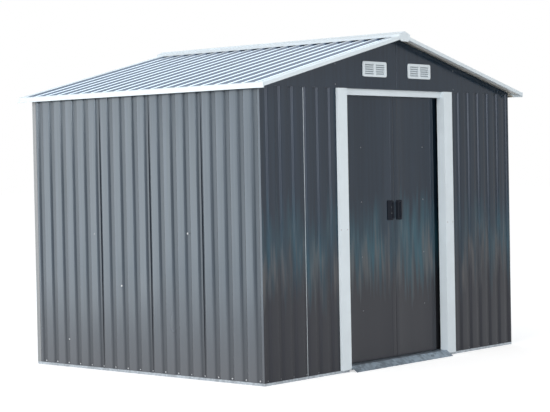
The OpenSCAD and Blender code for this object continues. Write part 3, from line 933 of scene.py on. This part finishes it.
@dataclass
class Walls:
    """The ribbed wall sheets, each made of strips that lap over the next one."""

    trees: SheetTrees
    paints: Paints
    rib: Rib = field(default_factory=Rib)
    side_pitch: float = 0.1053
    front_pitch: float = 0.1085
    first_groove: float = 0.040
    side_grooves: int = 18
    side_inset: float = 0.0004
    front_grooves: int = 5
    side_laps: tuple[int, ...] = (5, 9, 13)
    rear_laps: tuple[int, ...] = (5, 9, 13, 17)
    lap_step: float = 0.0012
    gape: float = 0.0050
    under: float = 0.030
    short: float = 0.003
    hem: float = 0.0022
    hem_bend: float = 0.0002
    hem_sunk: float = 0.0004
    hem_groove: int = 3
    hem_past_groove: float = 0.012
    hem_short: float = 0.002
    seam_inset: float = 0.007
    seam_rise: float = 0.001
    seam_height: float = 0.28

    @property
    def shoulder(self) -> float:
        """Half the width of a groove at the sheet's face."""
        return self.rib.flat / 2 + self.rib.web

    @property
    def rear_layout(self) -> tuple[int, float]:
        """How many grooves the rear wall has, and its first groove's centre."""
        low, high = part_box("wall_rear")
        length = high.x - low.x
        grooves = int((length - 2 * self.first_groove) / self.front_pitch) + 1
        return grooves, (length - (grooves - 1) * self.front_pitch) / 2

    def side_groove(self, number: int) -> float:
        """How far back from the front edge a side wall's groove is."""
        return self.first_groove + self.side_inset + number * self.side_pitch

    def _wall(
        self, name: str, place: Placing, length: float, height: float, first: float, pitch: float,
        laps: Sequence[int], finish: Finish, seed: int,
    ) -> None:
        """Rolls one wall's strips.

        Args:
            name: the node that the wall stands for.
            place: where the whole wall lies.
            length: its length.
            height: its height.
            first: its first groove's centre.
            pitch: its grooves' spacing.
            laps: the grooves in which a strip ends.
            finish: its finish.
            seed: the first strip's dents.
        """
        along, inward = Vector(place.along), Vector(place.inward)
        cuts = [0.0, *(first + groove * pitch + self.short for groove in laps), length]
        centres = [first + groove * pitch for groove in range(int(length / pitch) + 1)]
        for number, (cut, high) in enumerate(zip(cuts, cuts[1:])):
            low = cut - (self.under if number else 0.0)
            last = number == len(laps)
            step = 0.0 if last else self.lap_step
            corner = Vector(place.corner) + along * low
            run = (along * (high - low) - inward * step) / (high - low)
            ribs = [centre for centre in centres if low + self.shoulder < centre < high - self.shoulder]
            spot = Placing(tuple(corner), tuple(run), place.inward, place.up)
            sheet = Sheet(
                f"{name}_strip_{number + 1}", spot, height, gape=0.0 if last else self.gape,
                seed=seed + number, rib=self.rib,
            )
            material = self.paints.get(finish)
            piece = sheet.roll(self.trees, material, high - low, ribs[0] - low, pitch, len(ribs), not last)
            settle(piece, Body.SHED, "wall_sheet", name)

    def _hem(self, name: str, corner: Triple, height: float, finish: Finish) -> None:
        """A narrow folded edge on a sheet that faces the front.

        Args:
            name: the piece's name.
            corner: its lower left corner, on the sheet's face.
            height: its height.
            finish: its finish.
        """
        place = Placing(corner, (1.0, 0.0, 0.0), (0.0, 1.0, 0.0))
        sheet = Sheet(name, place, height, rows=9, dents=0.0, streaks=0.0003)
        lean, out = 0.0005, -self.hem / 2
        outline = [(0.0, 0.0), (lean, out), (self.hem, out), (self.hem + lean, 0.0)]
        piece = sheet.fold(self.trees, self.paints.get(finish), outline, self.hem_bend)
        settle(piece, Body.SHED, "wall_sheet")

    def _side(self, side: Side, name: str) -> None:
        """Rolls a side wall, from the rear corner to the front one.

        Args:
            side: which side.
            name: the wall's node.
        """
        low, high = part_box(name)
        face = low.x if side is Side.LEFT else high.x
        place = Placing((face, high.y, low.z), (0.0, -1.0, 0.0), (-side.sign, 0.0, 0.0))
        length = high.y - low.y
        first = length - self.side_groove(self.side_grooves - 1)
        finish = self.paints.palette.wall
        self._wall(
            name, place, length, high.z - low.z, first, self.side_pitch, self.side_laps, finish, 3 + side.sign
        )

    def _front(self, side: Side, name: str) -> None:
        """Rolls the wall on one side of the doorway, from the corner inwards.

        Args:
            side: which side of the doorway.
            name: the wall's node.
        """
        low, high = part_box(name)
        corner = low.x if side is Side.LEFT else high.x
        place = Placing((corner, low.y, low.z), (-side.sign, 0.0, 0.0), (0.0, 1.0, 0.0))
        self._wall(
            name, place, high.x - low.x, high.z - low.z, self.first_groove, self.front_pitch, (),
            self.paints.palette.front, 21 + side.sign,
        )

    def _rear(self) -> None:
        """Rolls the rear wall."""
        low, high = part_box("wall_rear")
        place = Placing((low.x, high.y, low.z), (1.0, 0.0, 0.0), (0.0, -1.0, 0.0))
        _, first = self.rear_layout
        self._wall(
            "wall_rear", place, high.x - low.x, high.z - low.z, first, self.front_pitch, self.rear_laps,
            self.paints.palette.wall, 31,
        )

    def _lap_edge(self) -> None:
        """Folds the edge where the left front sheet laps, in white trim paint as a painted highlight."""
        low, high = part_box("wall_front_left")
        foot = low.x + self.first_groove + self.hem_groove * self.front_pitch + self.hem_past_groove
        deep = low.y + self.rib.depth - self.hem_sunk
        height = high.z - low.z - self.hem_short
        # White trim paint on the lap edge: a painted highlight.
        self._hem("lap_edge_front_left", (foot, deep, low.z), height, self.paints.palette.trim)

    def _seam(self) -> None:
        """Folds the upright seam between the two front gables."""
        low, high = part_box("gable_front_left")
        corner = (high.x - self.seam_inset, low.y, low.z + self.seam_rise)
        self._hem("gable_seam_front", corner, self.seam_height, self.paints.palette.front)

    def build(self) -> None:
        """Builds the five walls and dresses the gables."""
        self._side(Side.LEFT, "wall_left")
        self._side(Side.RIGHT, "wall_right")
        self._front(Side.LEFT, "wall_front_left")
        self._front(Side.RIGHT, "wall_front_right")
        self._lap_edge()
        self._rear()
        self._seam()
        self.paints.dress(("gable_front_left", "gable_front_right"), self.paints.palette.front)
        self.paints.dress(("gable_rear_left", "gable_rear_right"), self.paints.palette.wall)


@dataclass
class Roof:
    """The two ribbed roof slopes."""

    trees: SheetTrees
    paints: Paints
    rib: Rib = field(default_factory=Rib)
    pitch: float = 0.102
    first: float = 0.0788
    ribs: int = 20
    slope: float = 0.244346

    def build(self) -> None:
        """Rolls both slopes, ribs outwards, from eave to ridge."""
        finish = self.paints.get(self.paints.palette.roof)
        backing = self.paints.get(self.paints.palette.backing)
        rise, run = math.sin(self.slope), math.cos(self.slope)
        skin = self.rib.depth + self.rib.thickness
        section = replace(self.rib, depth=-self.rib.depth)
        for side, name in ((Side.LEFT, "roof_left"), (Side.RIGHT, "roof_right")):
            low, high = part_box(name)
            sign = side.sign
            eave, ridge = (low.x, high.x) if side is Side.LEFT else (high.x, low.x)
            foot = Vector((eave - sign * skin * rise, low.y, low.z))
            up, out = Vector((-sign * run, 0.0, rise)), Vector((sign * rise, 0.0, run))
            length = abs(ridge - foot.x) / run
            corner = foot + out * self.rib.thickness
            place = Placing(tuple(corner), (0.0, 1.0, 0.0), tuple(-out), tuple(up))
            sheet = Sheet(
                name + "_sheet", place, length, backing, rows=18, dents=0.0014, seed=41 + sign, rib=section
            )
            piece = sheet.roll(self.trees, finish, high.y - low.y, self.first, self.pitch, self.ribs)
            settle(piece, Body.SHED, "roof_sheet", name)


@dataclass(frozen=True)
class Ring:
    """One rounded rectangle of a moulding, in millimetres from its inner edge and middle."""

    near: float
    far: float
    half: float
    radius: float
    out: float

    def points(self, steps: int) -> list[Triple]:
        """The ring's points.

        Args:
            steps: how many pieces each corner's arc has.

        Returns:
            Points as across, out and up, in metres.
        """
        made = []
        for turn, (x, z) in enumerate(((1, 1), (0, 1), (0, 0), (1, 0))):
            centre_x = (self.far - self.radius) if x else (self.near + self.radius)
            centre_z = (self.half - self.radius) * (1 if z else -1)
            for step in range(steps + 1):
                angle = math.pi / 2 * (turn + step / steps)
                across = centre_x + self.radius * math.cos(angle)
                up = centre_z + self.radius * math.sin(angle)
                made.append((across / 1000, -self.out / 1000, up / 1000))
        return made


@dataclass
class Doors:
    """The two sliding leaves, their pulls and their hangers."""

    trees: SheetTrees
    paints: Paints
    stile: float = 0.034
    rise: float = 0.0015
    flange: float = 0.060
    reach: float = 0.016
    turn: float = 0.014
    bend: float = 0.0012
    lip: float = 0.0018
    skirt: float = 0.0040
    skin: float = 0.0008
    corner_steps: int = 5
    pull_edge: float = 0.0004
    pull_angle: float = 0.5
    pull: tuple[Ring, ...] = (
        Ring(0, 58, 60, 9, 0), Ring(0, 58, 60, 9, 2.0), Ring(0.6, 57.4, 59.4, 8.4, 2.8),
        Ring(1.6, 56.4, 58.4, 7.6, 3.0), Ring(3.2, 53, 56.5, 7, 3.0), Ring(4.2, 51, 55.5, 6.5, 3.8),
        Ring(5.4, 40, 52, 6, 10.8), Ring(6.2, 38.8, 51, 5.6, 11.7), Ring(7.4, 37.4, 49.8, 5.2, 12.0),
        Ring(10.4, 34.6, 46.8, 4.4, 12.0), Ring(11.2, 33.8, 46, 4, 11.6), Ring(12, 33, 45, 4, 8.0),
        Ring(13, 32, 44, 4, 6.6), Ring(15, 30, 42, 4, 6.2),
    )

    def _leaf(self, side: Side, body: Body) -> None:
        """Folds one leaf's skin.

        Args:
            side: which leaf.
            body: what it moves with.
        """
        name = body.value
        low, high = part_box(name)
        sign = side.sign
        meeting = (high.x if side is Side.LEFT else low.x) - sign * self.lip
        outer = (high.x - low.x) - self.flange + self.lip
        deep = high.y - low.y - self.skin
        outline = [
            (self.turn, deep), (0.0, deep), (0.0, 0.0), (self.stile, 0.0),
            (self.stile + self.rise, self.rise), (outer - self.stile - self.rise, self.rise),
            (outer - self.stile, 0.0), (outer, 0.0), (outer, deep), (outer + self.flange + self.reach, deep),
        ]
        place = Placing((meeting, low.y, low.z - self.skirt), (sign, 0.0, 0.0), (0.0, 1.0, 0.0))
        height = high.z - low.z + self.skirt
        sheet = Sheet(
            name + "_skin", place, height, rows=41, dents=0.0024, streaks=0.0013, seed=61 + sign,
            rib=Rib(thickness=self.skin),
        )
        finish = self.paints.get(self.paints.palette.leaf)
        settle(sheet.fold(self.trees, finish, outline, self.bend), body, "door_sheet", name)

    def _pull(self, side: Side, body: Body, node: str) -> None:
        """Moulds one pull: a plate, a raised grip with a long outer flank, and a finger cup.

        Args:
            side: which leaf it is on.
            body: what it moves with.
            node: the node that it stands for.
        """
        low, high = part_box(node)
        sign = side.sign
        edge = high.x if side is Side.LEFT else low.x
        middle = (low.z + high.z) / 2
        rings = [ring.points(self.corner_steps) for ring in self.pull]
        count = len(rings[0])
        points = [(edge + sign * x, high.y + y, middle + z) for ring in rings for x, y, z in ring]
        faces = [tuple(range(count))[::-1], tuple((len(rings) - 1) * count + n for n in range(count))]
        for level in range(len(rings) - 1):
            for n in range(count):
                a, b = level * count + n, level * count + (n + 1) % count
                faces.append((a, b, b + count, a + count))
        name = node + "_moulding"
        mesh = bpy.data.meshes.new(name)
        mesh.from_pydata(points, [], [face if side is Side.RIGHT else face[::-1] for face in faces])
        mesh.materials.append(self.paints.get(self.paints.palette.plastic))
        mesh.shade_smooth()
        piece = add_piece(name, mesh)
        round_edges(piece, self.pull_edge, self.pull_angle)
        settle(piece, body, "handle", node)

    def build(self) -> None:
        """Builds both leaves and what is on them."""
        self._leaf(Side.LEFT, Body.LEFT_LEAF)
        self._leaf(Side.RIGHT, Body.RIGHT_LEAF)
        self._pull(Side.LEFT, Body.LEFT_LEAF, "handle_left")
        self._pull(Side.RIGHT, Body.RIGHT_LEAF, "handle_right")
        self.paints.dress(("hangers_left", "hangers_right"), self.paints.palette.steel)


@dataclass
class Louvres:
    """The blades behind the slots of the four vents."""

    paints: Paints
    rows: int = 5
    pitch: float = 0.013
    centre: float = 0.052
    lift: float = 0.0005
    size: Triple = (0.084, 0.0085, 0.0010)
    tilt: float = math.radians(35)

    def _tree(self) -> bpy.types.NodeTree:
        """A tree that sets a tilted blade on each point."""
        sizes = [
            ("Points", "NodeSocketGeometry"), ("Size", "NodeSocketVector"), ("Tilt", "NodeSocketFloat"),
            ("Finish", "NodeSocketMaterial"),
        ]
        tree, given, result = new_geometry_tree("louvres", sizes)
        blade = tree.node("GeometryNodeMeshCube")
        tree.feed(blade.inputs["Size"], given["Size"])
        placed = tree.node("GeometryNodeInstanceOnPoints")
        tree.feed(placed.inputs["Points"], given["Points"])
        tree.feed(placed.inputs["Instance"], blade.outputs["Mesh"])
        facing = tree.node("GeometryNodeInputNamedAttribute", data_type="FLOAT")
        facing.inputs["Name"].default_value = "facing"
        turn = tree.math("MULTIPLY", facing.outputs["Attribute"], given["Tilt"])
        tree.feed(placed.inputs["Rotation"], tree.vector(turn, 0.0, 0.0))
        tree.end_in(result, placed.outputs[0], given["Finish"])
        return tree.tree

    def build(self) -> None:
        """Sets blades in the front and rear vents, each starting at its plate's inner face."""
        points: list[Triple] = []
        ways: list[float] = []
        rear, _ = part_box("vents_rear")
        for name in ("vent_front_left", "vent_front_right"):
            low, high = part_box(name)
            x, z = (low.x + high.x) / 2, (low.z + high.z) / 2
            for way, inner in ((1, high.y), (-1, rear.y)):
                y = inner + way * self.size[1] / 2 * math.cos(self.tilt)
                for column, row in product((-1, 1), range(self.rows)):
                    level = z + (row - (self.rows - 1) / 2) * self.pitch + self.lift
                    points.append((x + column * self.centre, y, level))
                    ways.append(float(way))
        mesh = bpy.data.meshes.new("louvre_points")
        mesh.from_pydata(points, [], [])
        mesh.attributes.new("facing", "FLOAT", "POINT").data.foreach_set("value", ways)
        finish = self.paints.get(self.paints.palette.trim)
        values = {"Size": self.size, "Tilt": self.tilt, "Finish": finish}
        result = realise(bpy.data.objects.new("louvre_source", mesh), self._tree(), values)
        settle(add_piece("vent_louvres", result), Body.SHED, "white_trim")


@dataclass
class Trims:
    """White folded trims, zinc rails and the sill, which keep the frame's own shapes."""

    paints: Paints
    trim_fold: float = 0.0004
    rail_fold: float = 0.0003
    sill_fold: float = 0.0006

    def build(self) -> None:
        """Dresses them all."""
        palette = self.paints.palette
        white = (
            "door_header", "door_jamb_left", "door_jamb_right", "vent_front_left", "vent_front_right",
            "vents_rear", "ridge_cap", "apex_cap_front", "apex_cap_rear", "eave_trim_left",
            "eave_trim_right", "gable_trim_front_left", "gable_trim_front_right", "gable_trims_rear",
            "corner_caps",
        )
        self.paints.dress(white, palette.trim, self.trim_fold)
        zinc = (
            "base_rails_front", "base_rail_left", "base_rail_right", "base_rail_rear",
            "mid_rails_front", "mid_rails_side", "mid_rail_rear", "head_rail_rear", "door_track",
        )
        self.paints.dress(zinc, palette.zinc, self.rail_fold)
        self.paints.dress(("door_sill",), palette.sill, self.sill_fold)
        self.paints.dress(("corner_angles_rear",), palette.angle)
        self.paints.dress(("eave_rail_left", "eave_rail_right"), palette.rail)


# ---- fixings ----------------------------------------------------------------------------------


@dataclass(frozen=True)
class Screw:
    """A pan-head screw with its washer, in metres."""

    head: float = 0.0036
    rise: float = 0.0024
    washer: float = 0.0048
    plate: float = 0.0008


class Fixing(Enum):
    """The two kinds of screw: bright ones in the walls, small dull ones in the gables and leaves."""

    BRIGHT = Screw()
    DULL = Screw(0.0028, 0.0018, 0.0034, 0.0006)


@dataclass
class Fixings:
    """All the screws, placed as points that face away from their sheet."""

    TO_FRONT = (0.0, -1.0, 0.0)
    TO_REAR = (0.0, 1.0, 0.0)

    paints: Paints
    base_z: float = 0.024
    side_grooved: tuple[tuple[float, float], ...] = ((0.662, 0.169),)
    side_raised: tuple[tuple[float, float], ...] = ((-0.382, 0.831), (0.402, 0.818), (0.173, 0.514))
    jamb_insets: tuple[float, float] = (0.011, 0.068)
    jamb_left_z: float = 0.830
    jamb_right_z: float = 0.835
    gable_left: tuple[tuple[float, float], ...] = ((-0.570, 1.788), (-0.570, 1.670))
    gable_right: tuple[tuple[float, float], ...] = ((0.602, 1.783), (0.602, 1.665))
    leaf_x: tuple[tuple[Body, float], ...] = ((Body.LEFT_LEAF, -0.285), (Body.RIGHT_LEAF, 0.328))
    leaf_z: tuple[float, ...] = (1.306, 0.983, 0.658, 0.338)
    leaf_sunk: float = 0.0012
    pull_inset: float = 0.025
    pull_sunk: float = 0.0061
    pull_spots: tuple[tuple[float, float], ...] = ((-0.002, 0.018), (0.002, -0.018))
    washer_sides: int = 16
    dome_sides: int = 12
    dome_rings: int = 8
    spots: dict[tuple[Body, Fixing], list[tuple[Triple, Triple]]] = field(default_factory=dict)

    def _tree(self) -> bpy.types.NodeTree:
        """A tree that sets a screw on each point, along the point's facing."""
        sizes = [
            ("Points", "NodeSocketGeometry"), ("Head", "NodeSocketFloat"), ("Rise", "NodeSocketFloat"),
            ("Washer", "NodeSocketFloat"), ("Plate", "NodeSocketFloat"), ("Finish", "NodeSocketMaterial"),
        ]
        tree, given, result = new_geometry_tree("screws", sizes)
        plate = tree.node("GeometryNodeMeshCylinder")
        plate.inputs["Vertices"].default_value = self.washer_sides
        tree.feed(plate.inputs["Radius"], given["Washer"])
        tree.feed(plate.inputs["Depth"], given["Plate"])
        lifted = tree.node("GeometryNodeTransform")
        tree.feed(lifted.inputs["Geometry"], plate.outputs["Mesh"])
        middle = tree.math("MULTIPLY", given["Plate"], 0.5)
        tree.feed(lifted.inputs["Translation"], tree.vector(0.0, 0.0, middle))
        dome = tree.node("GeometryNodeMeshUVSphere")
        dome.inputs["Segments"].default_value = self.dome_sides
        dome.inputs["Rings"].default_value = self.dome_rings
        tree.feed(dome.inputs["Radius"], given["Head"])
        pressed = tree.node("GeometryNodeTransform")
        tree.feed(pressed.inputs["Geometry"], dome.outputs["Mesh"])
        tree.feed(pressed.inputs["Translation"], tree.vector(0.0, 0.0, given["Plate"]))
        squat = tree.math("DIVIDE", given["Rise"], given["Head"])
        tree.feed(pressed.inputs["Scale"], tree.vector(1.0, 1.0, squat))
        whole = tree.node("GeometryNodeJoinGeometry")
        tree.feed(whole.inputs[0], lifted.outputs[0])
        tree.feed(whole.inputs[0], pressed.outputs[0])
        facing = tree.node("GeometryNodeInputNamedAttribute", data_type="FLOAT_VECTOR")
        facing.inputs["Name"].default_value = "facing"
        turned = tree.node("FunctionNodeAlignRotationToVector", axis="Z")
        tree.feed(turned.inputs["Vector"], facing.outputs["Attribute"])
        placed = tree.node("GeometryNodeInstanceOnPoints")
        tree.feed(placed.inputs["Points"], given["Points"])
        tree.feed(placed.inputs["Instance"], whole.outputs[0])
        tree.feed(placed.inputs["Rotation"], turned.outputs[0])
        tree.end_in(result, placed.outputs[0], given["Finish"])
        return tree.tree

    def add(self, body: Body, place: Triple, facing: Triple, kind: Fixing = Fixing.BRIGHT) -> None:
        """Notes one screw."""
        self.spots.setdefault((body, kind), []).append((place, facing))

    def _walls(self, walls: Walls) -> None:
        """The screws of the walls: one in each groove at the base, and a few at the rails.

        Args:
            walls: the walls, for their grooves' places.
        """
        deep = walls.rib.depth
        left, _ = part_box("wall_left")
        front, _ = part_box("wall_front_left")
        rear_low, rear_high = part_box("wall_rear")
        for side in Side:
            out = (side.sign, 0.0, 0.0)
            face = -left.x * side.sign
            sunk = side.sign * (-left.x - deep)
            for groove in range(walls.side_grooves):
                self.add(Body.SHED, (sunk, left.y + walls.side_groove(groove), self.base_z), out)
            for y, z in self.side_raised:
                self.add(Body.SHED, (face, y, z), out)
            for y, z in self.side_grooved:
                self.add(Body.SHED, (sunk, y, z), out)
            for groove in range(walls.front_grooves):
                x = side.sign * (-front.x - walls.first_groove - groove * walls.front_pitch)
                self.add(Body.SHED, (x, front.y + deep, self.base_z), self.TO_FRONT, Fixing.DULL)
        grooves, first = walls.rear_layout
        for groove in range(grooves):
            x = rear_low.x + first + groove * walls.front_pitch
            self.add(Body.SHED, (x, rear_high.y - deep, self.base_z), self.TO_REAR)

    def _doorway(self) -> None:
        """The screws of the jambs, gables, leaves and the left pull."""
        jamb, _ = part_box("door_jamb_left")
        for inset in self.jamb_insets:
            x = jamb.x + inset
            self.add(Body.SHED, (x, jamb.y, self.jamb_left_z), self.TO_FRONT)
            self.add(Body.SHED, (-x, jamb.y, self.jamb_right_z), self.TO_FRONT)
        left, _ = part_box("gable_front_left")
        right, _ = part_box("gable_front_right")
        for (x, z), (mirrored, lower) in zip(self.gable_left, self.gable_right):
            self.add(Body.SHED, (x, left.y, z), self.TO_FRONT, Fixing.DULL)
            self.add(Body.SHED, (mirrored, right.y, lower), self.TO_FRONT, Fixing.DULL)
        for body, x in self.leaf_x:
            leaf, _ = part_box(body.value)
            for z in self.leaf_z:
                self.add(body, (x, leaf.y + self.leaf_sunk, z), self.TO_FRONT, Fixing.DULL)
        low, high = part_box("handle_left")
        middle = (low.z + high.z) / 2
        for shift, rise in self.pull_spots:
            place = (high.x - self.pull_inset + shift, high.y - self.pull_sunk, middle + rise)
            self.add(Body.LEFT_LEAF, place, self.TO_FRONT, Fixing.DULL)

    def build(self, walls: Walls) -> None:
        """Makes one object of screws for each body and kind.

        Args:
            walls: the walls that they go into.
        """
        self._walls(walls)
        self._doorway()
        tree = self._tree()
        palette = self.paints.palette
        finishes = {Fixing.BRIGHT: palette.steel, Fixing.DULL: palette.dull_screw}
        for (body, kind), spots in self.spots.items():
            mesh = bpy.data.meshes.new("screw_points")
            mesh.from_pydata([place for place, _ in spots], [], [])
            facing = mesh.attributes.new("facing", "FLOAT_VECTOR", "POINT")
            facing.data.foreach_set("vector", [part for _, way in spots for part in way])
            screw = kind.value
            values = {
                "Head": screw.head, "Rise": screw.rise, "Washer": screw.washer, "Plate": screw.plate,
                "Finish": self.paints.get(finishes[kind]),
            }
            result = realise(bpy.data.objects.new("screw_source", mesh), tree, values)
            settle(add_piece(f"screws_{kind.name.lower()}_{body.value}", result), body, "hanger")


# ---- studio -----------------------------------------------------------------------------------


@dataclass(frozen=True)
class Panel:
    """A soft light panel: its centre, the point it faces, its width and height, and its light.

    A radiance of 1 is white.
    """

    name: str
    place: Triple
    aim: Triple
    size: tuple[float, float]
    radiance: float
    colour: Colour = (1.0, 1.0, 1.0)

    def build(self) -> None:
        """Hangs the panel, unseen by the camera."""
        data = bpy.data.lights.new(self.name, "AREA")
        data.color = self.colour
        data.shape = "RECTANGLE"
        data.size, data.size_y = self.size
        data.energy = self.radiance * data.size * data.size_y * math.pi
        lamp = bpy.data.objects.new(self.name, data)
        turn = (Vector(self.place) - Vector(self.aim)).to_track_quat("Z", "Y")
        lamp.matrix_world = Matrix.Translation(self.place) @ turn.to_matrix().to_4x4()
        lamp.visible_camera = False
        bpy.context.scene.collection.objects.link(lamp)


@dataclass
class Studio:
    """Camera, light, floor and background."""

    eye: Triple = (-7.7346, -6.7938, 1.1985)
    forward: Triple = (0.74958, 0.66151, -0.02412)
    up: Triple = (0.03077, 0.00158, 0.99957)
    lens: float = 104.993
    sensor: float = 36.0
    far_clip: float = 200.0
    ambient: float = 0.62
    room: tuple[float, float] = (1.20, 0.90)
    floor_half: float = 60.0
    floor_drop: float = 0.0005
    floor_grey: float = 0.70
    floor_roughness: float = 0.9
    floor_glow: float = 0.58
    panels: tuple[Panel, ...] = (
        Panel("sky_rear_left", (-4.6, 3.5, 1.12), (-1.2, 0.0, 1.0), (3.4, 2.24), 2.36),
        Panel("sky_left", (-7.0, -2.4, 3.0), (0.0, -0.8, 1.0), (2.8, 2.6), 9.0),
        Panel("sky_front", (-5.8, -9.2, 2.2), (0.3, -0.9, 1.0), (4.0, 3.2), 4.5),
        Panel("sky_right", (4.3, -6.6, 1.7), (-0.9, -0.95, 1.0), (2.6, 3.2), 0.60),
        Panel("sky_rear", (5.4, 6.6, 4.1), (-0.6, 0.0, 1.8), (7.5, 5.4), 1.17, (0.51, 0.80, 1.03)),
    )

    def _camera(self) -> None:
        """Sets the camera where a standing person would look from."""
        data = bpy.data.cameras.new("camera")
        data.lens = self.lens
        data.sensor_width = self.sensor
        data.sensor_fit = "HORIZONTAL"
        data.clip_end = self.far_clip
        camera = bpy.data.objects.new("camera", data)
        back = -Vector(self.forward).normalized()
        right = Vector(self.up).cross(back).normalized()
        top = back.cross(right)
        turn = Matrix((right, top, back)).transposed().to_4x4()
        camera.matrix_world = Matrix.Translation(self.eye) @ turn
        bpy.context.scene.collection.objects.link(camera)
        bpy.context.scene.camera = camera

    def _world(self) -> None:
        """A white background with an even light a little below it."""
        world = bpy.data.worlds.new("world")
        bpy.context.scene.world = world
        world.use_nodes = True
        tree = Tree(world.node_tree)
        shader = world.node_tree.nodes["Background"]
        through = tree.node("ShaderNodeLightPath").outputs["Is Transmission Ray"]
        seen = tree.math("MAXIMUM", tree.seen_white(), through)
        strength = tree.math("MULTIPLY_ADD", seen, 1.0 - self.ambient, self.ambient)
        tree.feed(shader.inputs["Strength"], strength)
        shader.inputs["Color"].default_value = (1.0, 1.0, 1.0, 1.0)

    def _floor(self) -> None:
        """A pale floor that keeps the soft shadow, and glows to white only outside the shed."""
        mesh = bpy.data.meshes.new("floor")
        corners = [(x * self.floor_half, y * self.floor_half, 0.0) for x, y in product((-1, 1), repeat=2)]
        mesh.from_pydata(corners, [], [(0, 2, 3, 1)])
        floor = add_piece("floor", mesh)
        floor.location.z = -self.floor_drop
        material, tree, shader = new_material("pale_floor")
        shader.inputs["Base Color"].default_value = (*[self.floor_grey] * 3, 1.0)
        shader.inputs["Roughness"].default_value = self.floor_roughness
        shader.inputs["Specular IOR Level"].default_value = 0.0
        place = tree.own_place()
        beside = tree.math("GREATER_THAN", tree.math("ABSOLUTE", place["X"]), self.room[0])
        before = tree.math("GREATER_THAN", tree.math("ABSOLUTE", place["Y"]), self.room[1])
        open_air = tree.math("MULTIPLY", tree.seen_white(), tree.math("MAXIMUM", beside, before))
        glow = tree.node("ShaderNodeEmission")
        tree.feed(glow.inputs["Strength"], tree.math("MULTIPLY", open_air, self.floor_glow))
        both = tree.node("ShaderNodeAddShader")
        tree.feed(both.inputs[0], shader.outputs[0])
        tree.feed(both.inputs[1], glow.outputs[0])
        tree.feed(material.node_tree.nodes["Material Output"].inputs["Surface"], both.outputs[0])
        mesh.materials.append(material)

    def build(self) -> None:
        """Builds them all."""
        bpy.context.scene.view_settings.view_transform = "Standard"
        self._camera()
        self._world()
        self._floor()
        for panel in self.panels:
            panel.build()


def main() -> None:
    """Builds the shed's looks in order: sheets, leaves, trims, fixings, then the studio."""
    logging.basicConfig(level=logging.INFO, format="%(name)s: %(message)s")
    paints = Paints(Palette())
    trees = SheetTrees()
    walls = Walls(trees, paints)
    walls.build()
    Roof(trees, paints).build()
    Doors(trees, paints).build()
    Louvres(paints).build()
    Trims(paints).build()
    Fixings(paints).build(walls)
    Studio().build()


if __name__ == "__main__":
    main()
